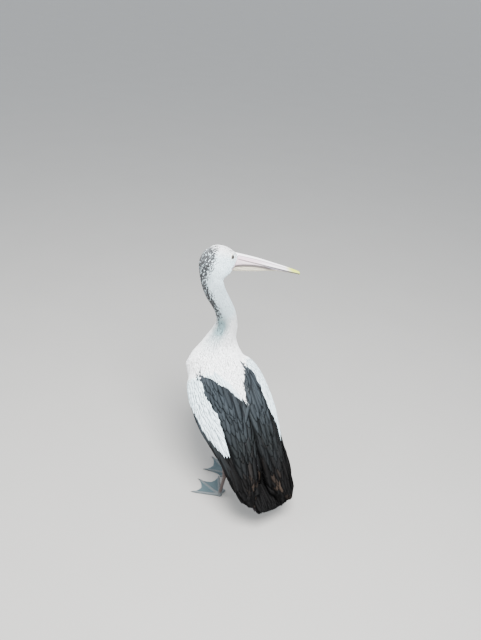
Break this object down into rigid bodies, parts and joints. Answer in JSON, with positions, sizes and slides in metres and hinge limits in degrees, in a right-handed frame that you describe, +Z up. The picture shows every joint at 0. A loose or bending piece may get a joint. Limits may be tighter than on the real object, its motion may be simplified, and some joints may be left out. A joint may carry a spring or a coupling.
{
  "type": "standing Australian pelican",
  "caption": "Life-size still model of a standing Australian pelican with folded wings and its bill turned to the side.",
  "frame": {"origin": "on the floor, under the middle of the bird's bounding box", "axes": "+Z up; the bird's breast faces -Y, its left side is +X, and its bill points towards -X"},
  "size_m": [0.5986, 0.6006, 1.1001],
  "materials": {
    "white_feather": "matte",
    "dark_feather": "satin",
    "bill_pink": "satin",
    "pouch": "matte",
    "nail_yellow": "satin",
    "eye_dark": "gloss",
    "leg_skin": "matte",
    "web_skin": "matte"
  },
  "bodies": {
    "root": {"trunk": "white_feather", "neck_lower": "white_feather", "neck_upper": "white_feather", "head": "white_feather", "eye_left": "eye_dark", "eye_right": "eye_dark", "bill_upper": "bill_pink", "bill_lower": "pouch", "nail": "nail_yellow", "wing_left": "dark_feather", "wing_right": "dark_feather", "tail": "dark_feather", "thigh_left": "white_feather", "thigh_right": "white_feather", "shank_left": "leg_skin", "shank_right": "leg_skin", "foot_left": "web_skin", "foot_right": "web_skin"}
  },
  "joints": []
}
